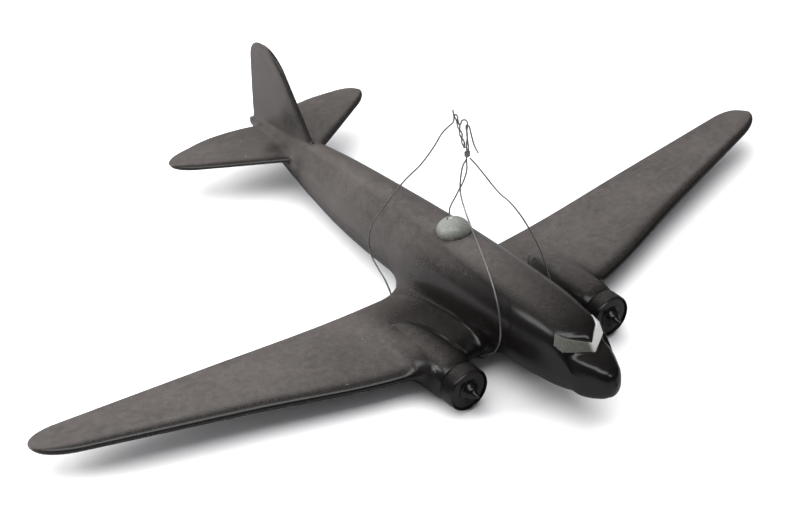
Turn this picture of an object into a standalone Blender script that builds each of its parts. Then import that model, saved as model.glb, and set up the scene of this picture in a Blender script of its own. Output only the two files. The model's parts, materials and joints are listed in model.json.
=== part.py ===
"""A hanging recognition model of a twin-engine, low-wing transport aeroplane.

Every length below is in millimetres and is turned into metres by MM.
The airframe is drawn level: +X is the aeroplane's left, +Y runs aft from the nose and
+Z is up, with the fuselage keel at KEEL_Z. The empty "attitude" then pitches the whole
model nose up until it stands on both nacelles and the rear keel, at Z = 0.
"""

import math

import bmesh
import bpy
import numpy as np
from mathutils import Matrix, Vector

MM = 0.001
CLEARANCE = 0.3          # gap between two pieces that touch
NAME = "transport_recognition_model"

# Attitude at rest
NOSE_UP_DEG = 2.88
ORIGIN_Y = 136.81        # from the origin forward to the airframe's datum, once pitched
ORIGIN_Z = 19.43         # height of that datum above the surface the model stands on

# Fuselage: station, half width, crown height, keel height, corner exponent
# (1 is an ellipse, less is squarer), and how far the ring is swept into a chevron
FUSELAGE = [
    (5.0, 0.9, 5.3, 2.2, 1.00, 0.0),
    (5.7, 2.6, 7.4, -0.4, 0.95, 0.0),
    (7.8, 5.1, 9.6, -3.0, 0.78, 0.0),
    (11.3, 7.4, 11.7, -4.9, 0.62, 0.2),
    (14.9, 9.5, 13.0, -5.8, 0.54, 0.4),
    (17.4, 10.7, 13.9, -6.1, 0.52, 0.6),
    (18.4, 11.0, 14.6, -6.2, 0.53, 0.6),
    (20.4, 11.6, 18.3, -6.5, 0.60, 0.6),
    (21.6, 12.0, 19.4, -6.8, 0.66, 0.5),
    (25.0, 12.9, 21.0, -7.9, 0.70, 0.3),
    (31.0, 14.1, 22.7, -9.5, 0.76, 0.0),
    (40.0, 15.7, 24.4, -10.7, 0.84, 0.0),
    (50.0, 17.2, 25.5, -11.3, 0.90, 0.0),
    (62.0, 17.8, 26.2, -11.8, 0.94, 0.0),
    (80.0, 18.0, 26.4, -12.0, 0.96, 0.0),
    (110.0, 17.9, 25.9, -12.0, 0.97, 0.0),
    (140.0, 17.1, 24.8, -12.0, 0.98, 0.0),
    (160.0, 16.2, 23.9, -11.6, 1.00, 0.0),
    (180.0, 14.8, 22.8, -9.9, 1.00, 0.0),
    (200.0, 12.7, 21.3, -6.6, 1.00, 0.0),
    (220.0, 9.8, 19.1, -2.7, 1.00, 0.0),
    (240.0, 6.5, 16.5, 1.6, 1.00, 0.0),
    (255.0, 3.8, 14.2, 5.0, 1.00, 0.0),
    (264.0, 2.2, 12.6, 7.4, 1.00, 0.0),
    (268.3, 0.9, 11.2, 9.4, 1.00, 0.0),
]
WALL = 2.4               # thickness of the moulded fuselage halves
CAVITIES = [(27.0, 84.0), (124.0, 206.0)]    # hollow stretches, either side of the spar web

# Wing: distance out from the centre line, leading edge, trailing edge, thickness, and the
# share of the thickness that is above the chord line
WING = [
    (4.0, 66.0, 124.2, 10.4, 0.70),
    (24.0, 66.8, 124.2, 10.4, 0.70),
    (34.0, 67.6, 124.3, 9.8, 0.66),
    (52.0, 70.8, 124.8, 8.4, 0.56),
    (120.0, 92.2, 129.7, 6.6, 0.56),
    (185.0, 112.4, 134.4, 4.8, 0.56),
]
HALF_SPAN = 201.0
TIP_LENGTH = 17.0        # outboard stretch that is rounded off in plan
CHORD_Z = -7.6           # leading edge height at the centre line
DIHEDRAL = 0.043         # rise per unit of span
WASH = -1.0              # the trailing edge is this far below the leading edge

# Tailplane and fin, in the same columns as the wing
STABILISER = [(3.0, 216.6, 257.6, 4.6, 0.56), (12.0, 221.9, 260.2, 4.6, 0.56),
              (30.0, 232.5, 262.6, 4.1, 0.56), (47.0, 242.6, 260.6, 3.4, 0.56)]
STABILISER_SPAN = 55.6
STABILISER_TIP = 10.0
STABILISER_Z = 11.8
FIN = [(8.0, 207.0, 264.8, 6.4, 0.5), (20.0, 215.0, 264.8, 6.0, 0.5),
       (49.0, 235.3, 263.6, 4.2, 0.5)]
FIN_TOP = 58.2
FIN_TIP = 11.0

# Engines
ENGINE_X = 39.5
ENGINE_Z = -6.0
COWL_FRONT = 50.0
COWL_REAR = 58.0
COWL_RADIUS = 9.7
COWL_WALL = 0.8
FACE_RECESS = 1.0
FACE_THICKNESS = 2.4
HUB_PIN_RADIUS = 0.75
HUB_PIN_FIT = 0.05       # running clearance of the hub on its pin
# Nacelle: station, half width, crown height, keel height
NACELLE = [
    (58.3, 9.3, 3.3, -15.3),
    (61.0, 9.9, 4.1, -15.7),
    (67.0, 10.5, 4.7, -15.9),
    (76.0, 10.5, 4.5, -15.8),
    (86.0, 9.6, 3.9, -15.2),
    (94.0, 7.8, 2.3, -14.0),
    (100.0, 5.4, 0.0, -12.2),
    (105.0, 2.0, -3.6, -9.5),
]

# Windscreen insert, as half outlines of its sill and its top: (across, station, height)
SILL = [(0.0, 17.7, 13.7), (9.9, 24.5, 14.3), (13.0, 30.3, 16.1)]
HEAD = [(0.0, 20.1, 17.9), (8.7, 26.6, 20.6), (11.1, 31.5, 20.0)]

# Observation dome on the crown
DOME_Y = 109.4
DOME_Z = 25.3
DOME_RADIUS = 7.9
DOME_WALL = 1.3
DOME_HOLE = 1.7
DOME_PIN_RADIUS = 1.3
DOME_PIN_FOOT = 14.0

# Joiners hidden inside
SPAR = (31.0, 16.0, 2.6)                 # half length, width, thickness
SPAR_Y = 96.0
SPAR_Z = -6.6
TAIL_ROD = (16.0, 1.2)                   # half length, radius
TAIL_ROD_Y = 240.0
TAIL_ROD_Z = 12.1
FIN_PEG = (5.0, 27.0, 1.1)               # foot, top, radius
FIN_PEG_Y = 247.0
DOWELS = {"nose_dowel": (14.0, 2.0), "middle_dowel": (116.0, 4.0), "tail_dowel": (222.0, 9.0)}
DOWEL = (5.0, 1.3)                       # half length, radius

# Hanging wires, as the points that each one bends through
WIRE_RADIUS = 0.35
KNOT = (0.0, 99.2, 69.5)
KNOT_SIZE = (1.25, 3.0)                  # radius, length of the wrapped binding
SLING_RIGHT = [
    (-0.6, 98.7, 67.6), (-1.9, 99.6, 64.6), (-3.6, 99.0, 60.6), (-5.7, 97.0, 54.6),
    (-7.4, 92.6, 49.6), (-9.3, 86.0, 44.5), (-11.4, 78.0, 39.3), (-13.6, 70.2, 33.6),
    (-16.0, 62.8, 27.7), (-18.2, 57.0, 21.0), (-19.7, 54.1, 14.0), (-20.3, 53.9, 8.0),
    (-19.9, 55.8, 3.6), (-19.2, 58.6, -0.9), (-18.9, 62.0, -4.4), (-18.9, 66.0, -8.6),
    (-19.0, 71.0, -10.8), (-19.3, 82.0, -11.8), (-20.2, 97.0, -12.0), (-21.0, 112.0, -11.4),
    (-21.5, 121.5, -10.6), (-21.8, 126.2, -9.0), (-22.0, 127.6, -6.0), (-22.2, 130.2, -2.2),
    (-22.5, 135.4, 2.4), (-22.6, 140.0, 7.6), (-22.0, 141.8, 13.4), (-21.0, 141.8, 18.2),
    (-19.3, 140.4, 23.8), (-17.2, 137.6, 29.6), (-13.8, 133.4, 38.2), (-10.7, 128.6, 46.7),
    (-7.4, 122.0, 56.0), (-4.5, 115.6, 67.4), (-2.9, 111.8, 75.2), (-2.1, 108.2, 79.8),
    (-1.7, 106.0, 82.6), (-1.5, 105.8, 84.8), (-1.4, 106.2, 86.4), (-1.3, 106.8, 87.8),
]
SLING_LEFT = [
    (0.1, 99.9, 67.6), (1.4, 101.4, 64.4), (4.4, 105.0, 57.3), (7.9, 112.2, 45.6),
    (10.8, 118.2, 38.2), (13.2, 124.4, 29.6), (15.9, 130.4, 22.0), (18.8, 135.6, 14.6),
    (20.8, 137.8, 7.6), (21.8, 136.0, 1.8), (22.1, 131.6, -2.6), (22.0, 128.0, -6.0),
    (21.8, 126.4, -9.0), (21.4, 121.5, -10.6), (20.8, 112.0, -11.6), (20.0, 97.0, -12.6),
    (19.2, 82.0, -13.1), (18.8, 71.0, -13.0), (18.6, 65.6, -12.0), (18.9, 62.4, -8.6),
    (19.6, 61.6, -3.6), (20.3, 63.6, 2.6), (20.6, 67.4, 9.0), (19.9, 69.8, 15.2),
    (18.2, 70.2, 22.2), (15.3, 70.2, 30.2), (10.7, 71.2, 41.0), (7.8, 74.4, 48.6),
    (6.2, 79.6, 53.2), (5.8, 84.8, 54.4), (5.1, 88.0, 56.6), (3.4, 92.6, 61.4),
    (1.6, 97.0, 66.0), (0.7, 98.4, 67.6),
]
EYE = (0.0, 106.2, 84.1)                 # centre of the hanging eye
EYE_RADIUS = 1.1
EYE_FOOT = (0.0, 100.9, 71.6)            # foot of its twisted pair of strands
EYE_TWIST = (0.55, 1.5)                  # offset of each strand from the middle, turns
HANGER_LINK = [
    (1.4, 105.0, 80.6), (1.2, 104.2, 82.6), (0.9, 102.6, 84.0), (0.5, 100.6, 84.9),
    (0.3, 99.3, 84.6), (0.3, 99.3, 82.6), (0.5, 100.0, 79.6), (0.6, 99.6, 75.6),
    (0.5, 99.0, 72.9), (0.4, 98.9, 71.4),
]
HANGER_TAIL = [
    (-0.7, 98.4, 71.4), (-0.9, 98.6, 73.6), (-1.0, 98.0, 77.4), (-0.9, 98.0, 80.6),
    (-0.9, 98.7, 83.0), (-0.8, 98.2, 84.4), (-0.5, 97.2, 84.0), (-0.2, 96.9, 82.2),
    (0.0, 96.0, 79.0), (0.0, 94.3, 75.6), (0.0, 91.8, 73.2),
]

# Colours: base colour, roughness, metallic
BLACK = ((0.030, 0.026, 0.024), 0.42, 0.0)
GREY = ((0.42, 0.44, 0.41), 0.38, 0.0)
STEEL = ((0.30, 0.29, 0.28), 0.35, 1.0)
WIRE = ((0.10, 0.09, 0.085), 0.40, 0.9)


# ---------------------------------------------------------------- helpers

def start_collections():
    for obj in list(bpy.data.objects):
        bpy.data.objects.remove(obj, do_unlink=True)
    made = []
    for title in (NAME, "cutters"):
        collection = bpy.data.collections.new(title)
        bpy.context.scene.collection.children.link(collection)
        made.append(collection)
    return made


def material(title, look):
    colour, roughness, metallic = look
    mat = bpy.data.materials.new(title)
    mat.use_nodes = True
    shader = mat.node_tree.nodes["Principled BSDF"]
    shader.inputs["Base Color"].default_value = (*colour, 1.0)
    shader.inputs["Roughness"].default_value = roughness
    shader.inputs["Metallic"].default_value = metallic
    return mat


def add(title, mesh, look, place=(0, 0, 0)):
    """A named sub-part with its own material, hung from the attitude empty."""
    obj = bpy.data.objects.new(title, mesh)
    obj.data.materials.append(material(title, look))
    obj.location = Vector(place) * MM
    obj.parent = attitude
    parts.objects.link(obj)
    return obj


def cutter(title, mesh, place=(0, 0, 0)):
    obj = bpy.data.objects.new(title, mesh)
    obj.location = Vector(place) * MM
    obj.parent = attitude
    obj.hide_render = True
    obj.display_type = "WIRE"
    cutters.objects.link(obj)
    return obj


def boolean(obj, other, operation="DIFFERENCE"):
    cut = obj.modifiers.new(other.name, "BOOLEAN")
    cut.object = other
    cut.operation = operation
    cut.solver = "EXACT"


def smooth_curve(table, at):
    """Reads every column of a table at positions in its first column, along smooth curves."""
    table = np.array(table, float)
    where, values = table[:, 0], table[:, 1:]
    steps = np.diff(where)[:, None]
    slopes = np.diff(values, axis=0) / steps
    middle = (slopes[:-1] * steps[1:] + slopes[1:] * steps[:-1]) / (steps[1:] + steps[:-1])
    tangents = np.vstack([slopes[:1], middle, slopes[-1:]])
    at = np.clip(np.atleast_1d(at), where[0], where[-1])
    i = np.clip(np.searchsorted(where, at, side="right") - 1, 0, len(where) - 2)
    h = steps[i]
    t = (at - where[i])[:, None] / h
    a = (1 + 2 * t) * (1 - t) ** 2
    b = t * (1 - t) ** 2
    c = t * t * (3 - 2 * t)
    d = t * t * (t - 1)
    return a * values[i] + b * h * tangents[i] + c * values[i + 1] + d * h * tangents[i + 1]


def loft(title, rings, peak=None):
    """One closed solid through closed rings of equally many points.

    The last ring is closed by a flat face, or by triangles that meet at a peak.
    """
    mesh = bpy.data.meshes.new(title)
    bm = bmesh.new()
    grid = [[bm.verts.new(Vector(point) * MM) for point in ring] for ring in rings]
    count = len(rings[0])
    for near, far in zip(grid[:-1], grid[1:]):
        for k in range(count):
            n = (k + 1) % count
            bm.faces.new((near[k], near[n], far[n], far[k]))
    bm.faces.new(grid[0])
    if peak:
        tip = bm.verts.new(Vector(peak) * MM)
        for k in range(count):
            bm.faces.new((grid[-1][k], grid[-1][(k + 1) % count], tip))
    else:
        bm.faces.new(grid[-1])
    bmesh.ops.recalc_face_normals(bm, faces=bm.faces)
    bm.to_mesh(mesh)
    bm.free()
    shade(mesh)
    return mesh


def shade(mesh, angle=35):
    mesh.shade_smooth()
    mesh.set_sharp_from_angle(angle=math.radians(angle))


def cylinder(title, radius, length, along, sides=24):
    """A solid cylinder centred on its origin, along X, Y or Z."""
    mesh = bpy.data.meshes.new(title)
    bm = bmesh.new()
    bmesh.ops.create_cone(bm, cap_ends=True, segments=sides, radius1=radius * MM,
                          radius2=radius * MM, depth=length * MM)
    turn = {"X": Vector((0, 1, 0)), "Y": Vector((1, 0, 0))}.get(along)
    if turn:
        bmesh.ops.rotate(bm, verts=bm.verts, cent=(0, 0, 0),
                         matrix=Matrix.Rotation(math.pi / 2, 3, turn))
    bm.to_mesh(mesh)
    bm.free()
    shade(mesh)
    return mesh


def block(title, size):
    mesh = bpy.data.meshes.new(title)
    bm = bmesh.new()
    bmesh.ops.create_cube(bm, size=1)
    bmesh.ops.scale(bm, vec=Vector(size) * MM, verts=bm.verts)
    bm.to_mesh(mesh)
    bm.free()
    return mesh


def add_turned(title, profile, look, place, turn=(0, 0, 0), closed=False, steps=24):
    """A sub-part turned from a profile of (radius, height), top to bottom."""
    mesh = bpy.data.meshes.new(title)
    edges = [(k, k + 1) for k in range(len(profile) - 1)]
    if closed:
        edges.append((len(profile) - 1, 0))
    mesh.from_pydata([(r * MM, 0, z * MM) for r, z in profile], edges, [])
    obj = add(title, mesh, look, place)
    obj.rotation_euler = turn
    screw = obj.modifiers.new("turn", "SCREW")
    screw.axis = "Z"
    screw.steps = screw.render_steps = steps
    screw.use_merge_vertices = True
    screw.merge_threshold = 0.00001
    screw.use_smooth_shade = True
    return obj


def wire(title, route, radius, look, points):
    """A round wire along a smooth curve through the route's points."""
    route = np.array(route, float)
    runs = np.linalg.norm(np.diff(route, axis=0), axis=1)
    table = np.column_stack([np.concatenate([[0], np.cumsum(runs)]), route])
    line = smooth_curve(table, np.linspace(0, table[-1, 0], points))
    curve = bpy.data.curves.new(title, "CURVE")
    curve.dimensions = "3D"
    curve.bevel_depth = radius * MM
    curve.bevel_resolution = 2
    curve.use_fill_caps = True
    spline = curve.splines.new("POLY")
    spline.points.add(points - 1)
    for point, place in zip(spline.points, line):
        point.co = (*(place * MM), 1)
    return add(title, curve, look)


# ---------------------------------------------------------------- fuselage

def fuselage_ring(station, width, crown, keel, corner, sweep, count=13):
    """Half a ring, from crown to keel on the +X side. Its top is swept into a chevron."""
    waist = crown - 0.51 * (crown - keel)
    ring = []
    for k in range(count):
        angle = math.pi / 2 - math.pi * k / (count - 1)
        power = corner if angle > 0 else 0.5 + 0.5 * corner
        across = width * abs(math.cos(angle)) ** power
        rise = math.copysign(abs(math.sin(angle)) ** power, angle)
        height = waist + rise * ((crown - waist) if angle > 0 else (waist - keel))
        lift = min(1.0, max(0.0, rise / 0.6))
        ring.append((across, station + sweep * across * lift, height))
    ring[0] = (0.0, ring[0][1], ring[0][2])
    ring[-1] = (0.0, ring[-1][1], ring[-1][2])
    return ring


def fuselage_half(title, side, grow=0.0, first=None, last=None, past=0.0):
    """One half of the fuselage body, solid, closed by the flat seam at its middle plane."""
    rings = []
    stations = [row[0] for row in FUSELAGE if first is None or first <= row[0] <= last]
    if first is not None:
        stations = [first, *stations, last]
    for station in stations:
        width, crown, keel, corner, sweep = smooth_curve(FUSELAGE, station)[0]
        half = fuselage_ring(station, width + grow, crown + grow, keel - grow, corner, sweep)
        ring = [(side * (x + (0 if 0 < k < len(half) - 1 else -past)), y, z)
                for k, (x, y, z) in enumerate(half)]
        rings.append(ring)
    if first is None and grow:
        rings[0] = [(x, y - grow, z) for x, y, z in rings[0]]
        rings[-1] = [(x, y + grow, z) for x, y, z in rings[-1]]
    return loft(title, rings)


def whole_body(title, grow):
    """The whole outer form of the fuselage, to trim what is set on it."""
    rings = []
    for row in FUSELAGE:
        station, width, crown, keel, corner, sweep = row
        half = fuselage_ring(station, width + grow, crown + grow, keel - grow, corner, sweep)
        rings.append(half + [(-x, y, z) for x, y, z in half[-2:0:-1]])
    rings[0] = [(x, y - grow, z) for x, y, z in rings[0]]
    rings[-1] = [(x, y + grow, z) for x, y, z in rings[-1]]
    return loft(title, rings)


def make_fuselage(cuts):
    for title, side in (("fuselage_left_half", 1), ("fuselage_right_half", -1)):
        shell = add(title, fuselage_half(title, side), BLACK, (side * CLEARANCE / 2, 0, 0))
        for k, (first, last) in enumerate(CAVITIES):
            hollow = fuselage_half(f"{title}_hollow_{k}", side, -WALL, first, last, past=1.0)
            boolean(shell, cutter(hollow.name, hollow))
        for cut in cuts:
            boolean(shell, cut)


# ---------------------------------------------------------------- flying surfaces

def aerofoil(lead, trail, lead_z, trail_z, thickness, top, steps=11):
    """A section with a blunt nose and a thin rounded tail, as (chordwise, height)."""
    fullest = 0.32
    blunt = []
    for k in range(steps + 1):
        s = 0.5 - 0.5 * math.cos(math.pi * k / steps)
        if s < fullest:
            depth = (1 - (1 - s / fullest) ** 2.3) ** 0.47
        else:
            depth = 1 - 0.87 * ((s - fullest) / (1 - fullest)) ** 1.4
        blunt.append((s, depth))
    upper = [(s, top * thickness * d) for s, d in blunt]
    lower = [(s, (top - 1) * thickness * d) for s, d in blunt[:0:-1]]
    tail = [(1.0 + 0.25 * thickness * 0.13 / max(trail - lead, 1), 0.0)]
    points = upper + tail + lower
    return [(lead + s * (trail - lead), lead_z + s * (trail_z - lead_z) + h) for s, h in points]


def surface_rings(table, span, tip, lead_z, rise, wash, stations, grow=0.0):
    """Sections of one flying surface from root to rounded tip: (distance out, section)."""
    rings = []
    start = span - tip
    for out in stations:
        lead, trail, thickness, top = smooth_curve(table, min(out, start))[0]
        if out > start:
            ends = smooth_curve(table, [start - 10, start])
            lead, trail = ends[1][:2] + (ends[1][:2] - ends[0][:2]) * (out - start) / 10
            round_off = max(0.0, 1 - ((out - start) / tip) ** 2.5) ** 0.4
            middle = (lead + trail) / 2
            lead = middle + (lead - middle) * round_off
            trail = middle + (trail - middle) * round_off
            thickness *= round_off ** 0.8
        height = lead_z + rise * out
        rings.append((out, aerofoil(lead - grow, trail + grow, height, height + wash,
                                    thickness + 2 * grow, top)))
    return rings


def tip_stations(span, tip):
    return [span - tip * (1 - math.sin(math.radians(a))) for a in (0, 18, 35, 50, 63, 75, 86)]


def wing_mesh(title, side, grow=0.0):
    stations = [7.5, 14, 22, 30, 41, 52, 66, 86, 106, 126, 146, 166]
    stations += tip_stations(HALF_SPAN, TIP_LENGTH)
    rings = surface_rings(WING, HALF_SPAN, TIP_LENGTH, CHORD_Z, DIHEDRAL, WASH, stations, grow)
    return loft(title, [[(side * out, y, z) for y, z in section] for out, section in rings])


def make_wings(body, joiner):
    for title, side in (("wing_left", 1), ("wing_right", -1)):
        wing = add(title, wing_mesh(title, side), BLACK)
        boolean(wing, body)
        boolean(wing, joiner)


def make_stabilisers(body, rod):
    stations = [3, 8, 16, 26, 36] + tip_stations(STABILISER_SPAN, STABILISER_TIP)
    rings = surface_rings(STABILISER, STABILISER_SPAN, STABILISER_TIP, STABILISER_Z, 0, 0,
                          stations)
    for title, side in (("stabiliser_left", 1), ("stabiliser_right", -1)):
        mesh = loft(title, [[(side * out, y, z) for y, z in section] for out, section in rings])
        tail = add(title, mesh, BLACK)
        boolean(tail, body)
        boolean(tail, rod)


def make_fin(body, peg):
    stations = [8, 16, 24, 36] + tip_stations(FIN_TOP, FIN_TIP)
    rings = []
    for out, section in surface_rings(FIN, FIN_TOP, FIN_TIP, 0, 0, 0, stations):
        half = section[:len(section) // 2 + 1]
        both = half + [(y, -h) for y, h in half[-2:0:-1]]
        rings.append([(h * 0.9, y, out) for y, h in both])
    fin = add("fin", loft("fin", rings), BLACK)
    boolean(fin, body)
    boolean(fin, peg)


# ---------------------------------------------------------------- engines

def nacelle_mesh(title, centre):
    """The nacelle body behind the cowl, with the spigot that the cowl slides on."""
    spigot = COWL_RADIUS - COWL_WALL - CLEARANCE
    rows = [(55.0, spigot, ENGINE_Z + spigot, ENGINE_Z - spigot),
            (58.25, spigot, ENGINE_Z + spigot, ENGINE_Z - spigot)]
    stations = [58.3, 60, 63, 67, 72, 78, 84, 90, 95, 100, 103, 105]
    rows += [(y, *smooth_curve(NACELLE, y)[0]) for y in stations]
    rings = []
    for station, width, crown, keel in rows:
        middle, reach = (crown + keel) / 2, (crown - keel) / 2
        rings.append([(centre + width * math.cos(a), station, middle + reach * math.sin(a))
                      for a in np.linspace(0, 2 * math.pi, 28, endpoint=False)])
    return loft(title, rings)


def make_engine(name, side, wing_space):
    centre = side * ENGINE_X
    nacelle = add(f"nacelle_{name}", nacelle_mesh(f"nacelle_{name}", centre), BLACK)
    boolean(nacelle, wing_space)
    boolean(nacelle, bpy.data.objects["floor_cut"])
    forward = (math.pi / 2, 0, 0)
    length = COWL_REAR - COWL_FRONT
    r, inner = COWL_RADIUS, COWL_RADIUS - COWL_WALL
    add_turned(f"cowl_{name}", [
        (inner, length - 0.5), (inner + 0.25, length), (r - 0.3, length - 0.1),
        (r - 0.05, length - 0.7), (r, length - 2.0), (r, 0.5), (r - 0.25, 0.0), (inner, 0.0),
    ], BLACK, (centre, COWL_REAR, ENGINE_Z), forward, closed=True, steps=36)
    face = COWL_FRONT + FACE_RECESS
    rim = inner - CLEARANCE
    eye = HUB_PIN_RADIUS + CLEARANCE
    add_turned(f"engine_face_{name}", [
        (eye, 0.0), (4.8, 0.0), (5.3, -0.4), (rim - 0.4, -0.4), (rim, -0.8),
        (rim, -FACE_THICKNESS), (eye, -FACE_THICKNESS),
    ], BLACK, (centre, face, ENGINE_Z), forward, closed=True, steps=32)
    bore = HUB_PIN_RADIUS + HUB_PIN_FIT
    add_turned(f"propeller_hub_{name}", [
        (0.0, 7.2), (0.5, 6.8), (1.3, 5.1), (1.75, 3.9), (1.8, 3.5), (2.5, 3.35), (2.55, 2.4),
        (3.2, 2.0), (3.9, 0.9), (3.9, 0.3), (bore, 0.3), (bore, 4.3), (0.0, 4.3),
    ], BLACK, (centre, face, ENGINE_Z), forward)
    add_turned(f"hub_pin_{name}", [
        (0.0, 4.0), (HUB_PIN_RADIUS - 0.1, 4.0), (HUB_PIN_RADIUS, 3.8),
        (HUB_PIN_RADIUS, -FACE_THICKNESS), (0.0, -FACE_THICKNESS),
    ], STEEL, (centre, face, ENGINE_Z), forward)


# ---------------------------------------------------------------- clear parts

def faceted(title, grow=0.0, foot=2.5):
    """The windscreen insert: a faceted V block between its sill and head outlines."""
    rings = []
    for outline, rise in ((SILL, -foot - grow), (SILL, 0.0), (HEAD, grow)):
        half = [(x + 1.5 * grow if x else 0.0, y - grow, z + rise) for x, y, z in outline]
        x, y, z = half[-1]
        half[-1] = (x, y + 2 * grow, z)
        rings.append([(-x, y, z) for x, y, z in half[:0:-1]] + half)
    x, y, z = rings[-1][-1]
    return loft(title, rings, peak=(0.0, y + 0.01, z + 0.3))


def make_dome(body, pin_hole):
    outer = [(DOME_RADIUS * math.sin(a), DOME_RADIUS * math.cos(a))
             for a in np.linspace(math.asin(DOME_HOLE / DOME_RADIUS), math.pi * 0.62, 10)]
    inner_radius = DOME_RADIUS - DOME_WALL
    inner = [(inner_radius * math.sin(a), inner_radius * math.cos(a))
             for a in np.linspace(math.pi * 0.62, math.asin(DOME_HOLE / inner_radius), 7)]
    dome = add_turned("observation_dome", outer + inner, GREY, (0, DOME_Y, DOME_Z),
                      closed=True, steps=32)
    boolean(dome, body)
    top = DOME_RADIUS * math.cos(math.asin(DOME_HOLE / DOME_RADIUS))
    r = DOME_PIN_RADIUS
    add_turned("dome_pin", [
        (0.0, top), (r - 0.25, top), (r, top - 0.25), (r, DOME_PIN_FOOT - DOME_Z),
        (0.0, DOME_PIN_FOOT - DOME_Z),
    ], GREY, (0, DOME_Y, DOME_Z))


# ---------------------------------------------------------------- assembly

parts, cutters = start_collections()
attitude = bpy.data.objects.new("attitude", None)
attitude.rotation_euler = (math.radians(-NOSE_UP_DEG), 0, 0)
attitude.location = Vector((0, -ORIGIN_Y, ORIGIN_Z)) * MM
parts.objects.link(attitude)


def round_cutters():
    """Clearance holes for the joiners, the dowels and the dome's pin."""
    made = {}
    length, radius = TAIL_ROD
    made["rod"] = cutter("rod_cut", cylinder("rod_cut", radius + CLEARANCE, 2 * length + 1, "X"),
                         (0, TAIL_ROD_Y, TAIL_ROD_Z))
    foot, top, radius = FIN_PEG
    made["peg"] = cutter("peg_cut", cylinder("peg_cut", radius + CLEARANCE, top - foot + 1, "Z"),
                         (0, FIN_PEG_Y, (foot + top) / 2))
    length, radius = DOWEL
    made["dowels"] = [
        cutter(f"{title}_cut", cylinder(f"{title}_cut", radius + CLEARANCE, 2 * length + 1, "X"),
               (0, y, z)) for title, (y, z) in DOWELS.items()]
    made["dome_pin"] = cutter(
        "dome_pin_cut", cylinder("dome_pin_cut", DOME_PIN_RADIUS + CLEARANCE, 30, "Z"),
        (0, DOME_Y, DOME_PIN_FOOT - 0.5 + 15))
    return made


def eye_route(strand_points=7, eye_points=10):
    """A hairpin of two twisted strands that open into a round eye at their top."""
    foot, eye = Vector(EYE_FOOT), Vector(EYE)
    up = (eye - foot).normalized()
    ahead = Vector((1, 0, 0))
    side = up.cross(ahead).normalized()
    offset, turns = EYE_TWIST
    reach = (eye - foot).length - EYE_RADIUS - 1.4
    legs = []
    for start in (0.0, math.pi):
        leg = []
        for k in range(strand_points):
            t = k / (strand_points - 1)
            angle = start + 2 * math.pi * turns * (t - 1)
            leg.append(foot + up * reach * t
                       + (side * math.cos(angle) + ahead * math.sin(angle)) * offset)
        legs.append(leg)
    spread = math.radians(40)
    loop = []
    for k in range(eye_points):
        angle = -math.pi / 2 + spread + (2 * math.pi - 2 * spread) * k / (eye_points - 1)
        loop.append(eye + (side * math.cos(angle) + up * math.sin(angle)) * EYE_RADIUS)
    return [tuple(p) for p in legs[0] + loop + legs[1][::-1]]


def make_wires():
    add_turned("knot_binding", [
        (0.0, KNOT_SIZE[1] / 2), (KNOT_SIZE[0] - 0.3, KNOT_SIZE[1] / 2),
        (KNOT_SIZE[0], KNOT_SIZE[1] / 2 - 0.4), (KNOT_SIZE[0], 0.4 - KNOT_SIZE[1] / 2),
        (KNOT_SIZE[0] - 0.3, -KNOT_SIZE[1] / 2), (0.0, -KNOT_SIZE[1] / 2),
    ], WIRE, KNOT, steps=16)
    routes = {"sling_wire_right": (SLING_RIGHT, 60), "sling_wire_left": (SLING_LEFT, 56),
              "hanger_eye": (eye_route(), 32), "hanger_link": (HANGER_LINK, 15),
              "hanger_tail": (HANGER_TAIL, 17)}
    for title, (route, points) in routes.items():
        wire(title, route, WIRE_RADIUS, WIRE, points)


def make_joiners():
    half, width, thickness = SPAR
    add("wing_spar", block("wing_spar", (2 * half, width, thickness)), STEEL,
        (0, SPAR_Y, SPAR_Z))
    length, radius = TAIL_ROD
    add("tailplane_rod", cylinder("tailplane_rod", radius, 2 * length, "X"), STEEL,
        (0, TAIL_ROD_Y, TAIL_ROD_Z))
    foot, top, radius = FIN_PEG
    add("fin_peg", cylinder("fin_peg", radius, top - foot, "Z"), STEEL,
        (0, FIN_PEG_Y, (foot + top) / 2))
    length, radius = DOWEL
    for title, (y, z) in DOWELS.items():
        add(title, cylinder(title, radius, 2 * length, "X"), BLACK, (0, y, z))


def build():
    floor = cutter("floor_cut", block("floor_cut", (600, 600, 20)))
    floor.parent = None
    floor.location = Vector((0, 0, -10)) * MM
    holes = round_cutters()
    half, width, thickness = SPAR
    spar = cutter("spar_cut", block("spar_cut", (2 * half + 1, width + 2 * CLEARANCE,
                                                 thickness + 2 * CLEARANCE)),
                  (0, SPAR_Y, SPAR_Z))
    body = cutter("body_cut", whole_body("body_cut", CLEARANCE))
    screen = cutter("screen_cut", faceted("screen_cut", CLEARANCE))
    make_fuselage([floor, screen, spar, holes["rod"], holes["peg"], *holes["dowels"],
                   holes["dome_pin"]])
    make_wings(body, spar)
    make_stabilisers(body, holes["rod"])
    make_fin(body, holes["peg"])
    for name, side in (("left", 1), ("right", -1)):
        space = cutter(f"wing_space_{name}", wing_mesh(f"wing_space_{name}", side, CLEARANCE))
        make_engine(name, side, space)
    add("windscreen", faceted("windscreen"), GREY)
    make_dome(body, holes["dome_pin"])
    make_joiners()
    make_wires()


build()
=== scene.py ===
"""The looks of a hanging recognition model of a twin-engine transport aeroplane.

Airframe sizes are in millimetres in a level frame: +X is the aeroplane's left, +Y runs
aft from the nose and +Z is up. LEVEL turns that frame, once in metres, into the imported
model's own frame, where the model stands tail down.
"""

import json
import math

import bmesh
import bpy
import numpy as np
from mathutils import Matrix, Vector
from mathutils.bvhtree import BVHTree


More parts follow.
